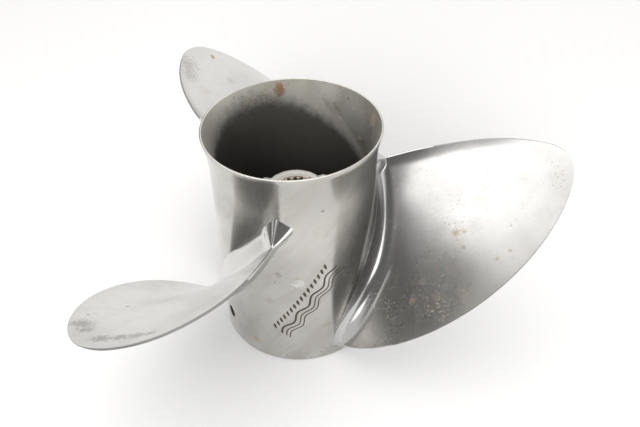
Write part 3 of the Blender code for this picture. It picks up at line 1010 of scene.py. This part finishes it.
def blade_blots(index):
    """Stains of one blade, each from (across, radius, size) in mm."""
    if index == 0:
        places = [(-4.7, 101.7, 0.9, RUST, 0.95, 0.6), (-21, 103, 3.0, TEA, 0.5, 2.0),
                  (-11.5, 90, 2.6, TEA, 0.4, 2.0), (-22, 88.5, 2.2, TEA, 0.6, 2.0),
                  (-23.5, 119, 2.4, TEA, 0.45, 2.0), (-31, 83, 2.4, TEA, 0.45, 2.0),
                  (6.1, 109.1, 1.8, TEA, 0.6, 2.0), (13.9, 102.9, 2.4, TEA, 0.6, 2.2),
                  (15, 108, 1.8, TEA, 0.5, 2.0), (-2.2, 129.7, 1.9, TEA, 0.6, 1.8),
                  (1.7, 136.5, 1.4, TEA, 0.5, 1.8), (15.3, 93.5, 5.0, GRIME_AND_SHADE, 0.10, 1.6),
                  (18.3, 114.3, 5.5, GRIME_AND_SHADE, 0.10, 1.6)]
    elif index == 1:
        places = [(42.5, 160.5, 2.0, TEA, 0.8, 1.2), (61.5, 152.3, 7.0, GRIME_AND_SHADE, 0.30, 2.2),
                  (60.2, 140.6, 6.0, GRIME_AND_SHADE, 0.25, 2.2), (31, 142, 3.0, TEA, 0.3, 2.2),
                  (50.5, 128.2, 6.0, TEA, 0.2, 2.4)]
    else:
        places = [(17, 152.5, 7.5, GRIME_AND_SHADE, 0.50, 1.5), (27, 155.5, 5.0, GRIME_AND_SHADE, 0.45, 1.5),
                  (44, 157.5, 6.0, GRIME_AND_SHADE, 0.50, 1.4), (49.5, 152.5, 5.5, GRIME_AND_SHADE, 0.50, 1.4),
                  (54.5, 148, 4.5, GRIME_AND_SHADE, 0.45, 1.4), (58, 143.8, 3.0, GRIME_AND_SHADE, 0.40, 1.4),
                  (52, 108, 10.0, GRIME_AND_SHADE, 0.12, 2.4), (2, 123, 1.2, GRIME_AND_SHADE, 0.6, 0.8),
                  (5, 145, 1.0, GRIME_AND_SHADE, 0.6, 0.8)]
    return [(on_blade(index, across, radius), size * MM, colour, strength, ragged)
            for across, radius, size, colour, strength, ragged in places]


def blade_crowds(index):
    """Places of one blade with many specks, each from (across, radius, size) in mm and amount."""
    places = (
        ((-20, 98, 30, 0.06), (12, 100, 18, 0.05), (4, 122, 20, 0.04), (45, 156, 22, 0.04),
         (-28, 84, 20, 0.04)),
        ((60, 146, 14, 0.06), (42, 158, 12, 0.05)),
        ((20, 150, 18, 0.05), (50, 150, 14, 0.05), (10, 100, 20, 0.03)),
    )
    return [(on_blade(index, across, radius), size * MM, amount)
            for across, radius, size, amount in places[index]]


# -------------------- stage

CAMERA_PLACE = Vector((0.0, -0.33366, 0.37406))
CAMERA_PITCH = math.radians(-40.978)
CAMERA_ROLL = math.radians(-1.446)
CAMERA_YAW = math.radians(2.65)
CAMERA_LENS = 37.886
CAMERA_SENSOR = 36.0

FLOOR_HALF_SIZE = 6.0
FLOOR_TONE = 0.60

FILL_PLACE = Vector((-0.45, -2.0, 1.05))
FILL_SIZE = 1.6
FILL_SPREAD = math.radians(60.0)
FILL_POWER = 12.2

# Studio surroundings: (from azimuth, to azimuth, from elevation, to elevation, edge softness) in
# degrees, then brightness. Azimuth 0 is +X and 90 is +Y. A later panel lies over an earlier one.
SURROUND = 0.17
BACKDROP = 0.80
LIGHT_TINT = (1.0, 0.99, 0.975, 1.0)
PANELS = (
    (-185, -50, 48, 95, 12, 0.8),
    (-20, 108, -90, 62, 8, 1.12),
    (106, 185, 30, 90, 5, 1.55),
    (-185, -112, -5, 25, 5, 0.85),
    (-112, -93, 6, 16, 4, 3.2),
    (-60, -14, -9, 14, 5, 3.2),
)

# The overhead softbox, on a level plane one unit up, along an axis and square to it. Its light
# comes in over the first interval of each pair and goes out over the second.
SOFTBOX_AXIS = (0.745, 0.667)
SOFTBOX_ACROSS = ((-0.86, -0.50), (0.35, 0.55))
SOFTBOX_ALONG = ((-0.6, -0.38), (0.20, 0.78))
SOFTBOX_LOWEST = 0.3
SOFTBOX_LEVEL = 2.5


def make_camera():
    ahead = Vector((math.sin(CAMERA_YAW) * math.cos(CAMERA_PITCH),
                    math.cos(CAMERA_YAW) * math.cos(CAMERA_PITCH), math.sin(CAMERA_PITCH)))
    side = ahead.cross(Vector((0.0, 0.0, 1.0))).normalized()
    up = side.cross(ahead)
    right = side * math.cos(CAMERA_ROLL) + up * math.sin(CAMERA_ROLL)
    top = up * math.cos(CAMERA_ROLL) - side * math.sin(CAMERA_ROLL)
    rotation = Matrix((right, top, -ahead)).transposed()
    data = bpy.data.cameras.new("camera")
    data.sensor_width = CAMERA_SENSOR
    data.lens = CAMERA_LENS
    data.clip_start = 0.01
    camera = bpy.data.objects.new("camera", data)
    camera.matrix_world = Matrix.Translation(CAMERA_PLACE) @ rotation.to_4x4()
    bpy.context.scene.collection.objects.link(camera)
    bpy.context.scene.camera = camera


def make_floor():
    bm = bmesh.new()
    bmesh.ops.create_grid(bm, x_segments=1, y_segments=1, size=FLOOR_HALF_SIZE)
    mesh = bpy.data.meshes.new("floor")
    bm.to_mesh(mesh)
    bm.free()
    floor = bpy.data.objects.new("floor", mesh)
    material, n, shader = new_material("floor_paper")
    n.feed(shader.inputs["Base Color"], (FLOOR_TONE, FLOOR_TONE, FLOOR_TONE, 1.0))
    n.feed(shader.inputs["Roughness"], 0.9)
    mesh.materials.append(material)
    bpy.context.scene.collection.objects.link(floor)


def lay_over(n, light, mask, level):
    """A light of one level, where mask is 1, over the light behind it."""
    behind = n.math("MULTIPLY", light, n.math("SUBTRACT", 1.0, mask))
    return n.math("ADD", behind, n.math("MULTIPLY", mask, level))


def with_panels(n, light, axes):
    """Adds the panels by a direction's azimuth and elevation."""
    x, y, z = axes.outputs
    azimuth = n.math("DEGREES", n.math("ARCTAN2", y, x))
    elevation = n.math("DEGREES", n.math("ARCSINE", z))
    for west, east, low, high, soft, level in PANELS:
        mask = n.math("MULTIPLY",
                      n.band(azimuth, (west - soft, west + soft), (east - soft, east + soft)),
                      n.band(elevation, (low - soft, low + soft), (high - soft, high + soft)))
        light = lay_over(n, light, mask, level)
    return light


def with_softbox(n, light, axes):
    """Adds the softbox by where a direction meets the level plane."""
    x, y, z = axes.outputs
    above = n.math("MAXIMUM", z, 0.01)
    flat_x = n.math("DIVIDE", x, above)
    flat_y = n.math("DIVIDE", y, above)
    east, north = SOFTBOX_AXIS
    across = n.math("ADD", n.math("MULTIPLY", flat_x, east), n.math("MULTIPLY", flat_y, north))
    along = n.math("SUBTRACT", n.math("MULTIPLY", flat_y, east), n.math("MULTIPLY", flat_x, north))
    mask = n.math("MULTIPLY", n.band(across, *SOFTBOX_ACROSS), n.band(along, *SOFTBOX_ALONG))
    mask = n.math("MULTIPLY", mask, n.math("GREATER_THAN", z, SOFTBOX_LOWEST))
    return lay_over(n, light, mask, SOFTBOX_LEVEL)


def make_world():
    """Panels and softbox round the object, and one plain pale tone behind it."""
    world = bpy.data.worlds.new("studio")
    world.use_nodes = True
    bpy.context.scene.world = world
    tree = world.node_tree
    n = Nodes(tree)
    axes = n.add("ShaderNodeSeparateXYZ")
    n.feed(axes.inputs[0], n.add("ShaderNodeTexCoord").outputs["Generated"])
    light = with_softbox(n, with_panels(n, SURROUND, axes), axes)
    seen = n.add("ShaderNodeLightPath").outputs["Is Camera Ray"]
    background = tree.nodes["Background"]
    background.inputs["Color"].default_value = LIGHT_TINT
    n.feed(background.inputs["Strength"], lay_over(n, light, seen, BACKDROP))


def make_fill():
    """A wide soft lamp that opens up the floor's shadows and leaves no glare on the metal."""
    data = bpy.data.lights.new("fill", "AREA")
    data.shape = "DISK"
    data.size = FILL_SIZE
    data.spread = FILL_SPREAD
    data.energy = FILL_POWER
    lamp = bpy.data.objects.new("fill", data)
    lamp.location = FILL_PLACE
    lamp.rotation_euler = FILL_PLACE.to_track_quat("Z", "Y").to_euler()
    lamp.visible_glossy = False
    bpy.context.scene.collection.objects.link(lamp)


# -------------------- all together

# The blades are one casting, and the differences between their colours are painted light: the
# second and third are lighter so that they look more brightly lit.
BLADE_LOOKS = (                # (colour, roughness, freckles)
    ((0.60, 0.597, 0.59), 0.32, 0.45),
    ((0.65, 0.645, 0.635), 0.34, 0.30),
    ((0.68, 0.675, 0.66), 0.33, 0.28),
)
# The barrel's inner wall gets exhaust soot with a painted shadow: its edge is tilted to lie where
# the rim's shadow falls. The sleeve's bore gets painted shade a few millimetres in.
BARREL_SOOT_AND_SHADOW = (0.309, -0.494, 129.5 * MM, 109.5 * MM)
SLEEVE_BORE_SHADE = (0.0, 0.0, HUB_AFT - 0.4 * MM, HUB_AFT - 3.0 * MM)


def build_barrel():
    shell = make_steel("barrel_steel", (0.58, 0.566, 0.535), 0.17, 0.30, barrel_blots(),
                       wave=0.10, streaks=0.36)
    crowds = [(in_barrel(azimuth, height), 16.0 * MM, 0.07)
              for azimuth, height in ((112, 143), (132, 140), (152, 138), (172, 140), (60, 146))]
    inside = make_steel("barrel_steel_inside", (0.69, 0.67, 0.615), 0.52, 0.55, inner_blots(),
                        clouds=0.06, soot_and_shade=BARREL_SOOT_AND_SHADOW, crowds=crowds)
    groove = make_steel("groove_steel", (0.15, 0.12, 0.09), 0.55)
    make_barrel([shell, inside], groove)


def build_blades():
    edge = make_steel("edge_steel", (0.30, 0.295, 0.285), 0.38)
    for index, (tone, gloss, freckles) in enumerate(BLADE_LOOKS):
        steel = make_steel(f"blade_steel_{index + 1}", tone, gloss, freckles, blade_blots(index),
                           clouds=0.07, root_gloss=0.15, crowds=blade_crowds(index))
        make_blade(index, [steel, edge])


def build_hub():
    make_inner_hub([make_steel("hub_steel", (0.66, 0.65, 0.62), 0.55, 0.4, metallic=0.5,
                               rust_ring=BOSS_RADIUS)])
    rib_blots = [(polar(BOSS_RADIUS + 1.5 * MM, angle, HUB_AFT), 6.5 * MM, PALE, 1.0, 0.5)
                 for angle in RIB_ANGLES]
    rib_steel = make_steel("rib_steel", (0.12, 0.11, 0.10), 0.6, 0.4, rib_blots)
    for index in range(len(RIB_ANGLES)):
        make_rib(index, [rib_steel])
    make_bush([make_rubber()])
    # The sleeve's steel is darker a few millimetres into its bore: painted shade.
    make_sleeve([make_steel("sleeve_steel", (0.64, 0.62, 0.58), 0.50, 0.5, wave=0.02,
                            soot_and_shade=SLEEVE_BORE_SHADE, metallic=0.6, rust_ring=SPLINE_ROOT_RADIUS)])


def main():
    bpy.context.scene.view_settings.view_transform = "Standard"
    build_barrel()
    build_blades()
    build_hub()
    make_floor()
    make_world()
    make_fill()
    make_camera()


main()
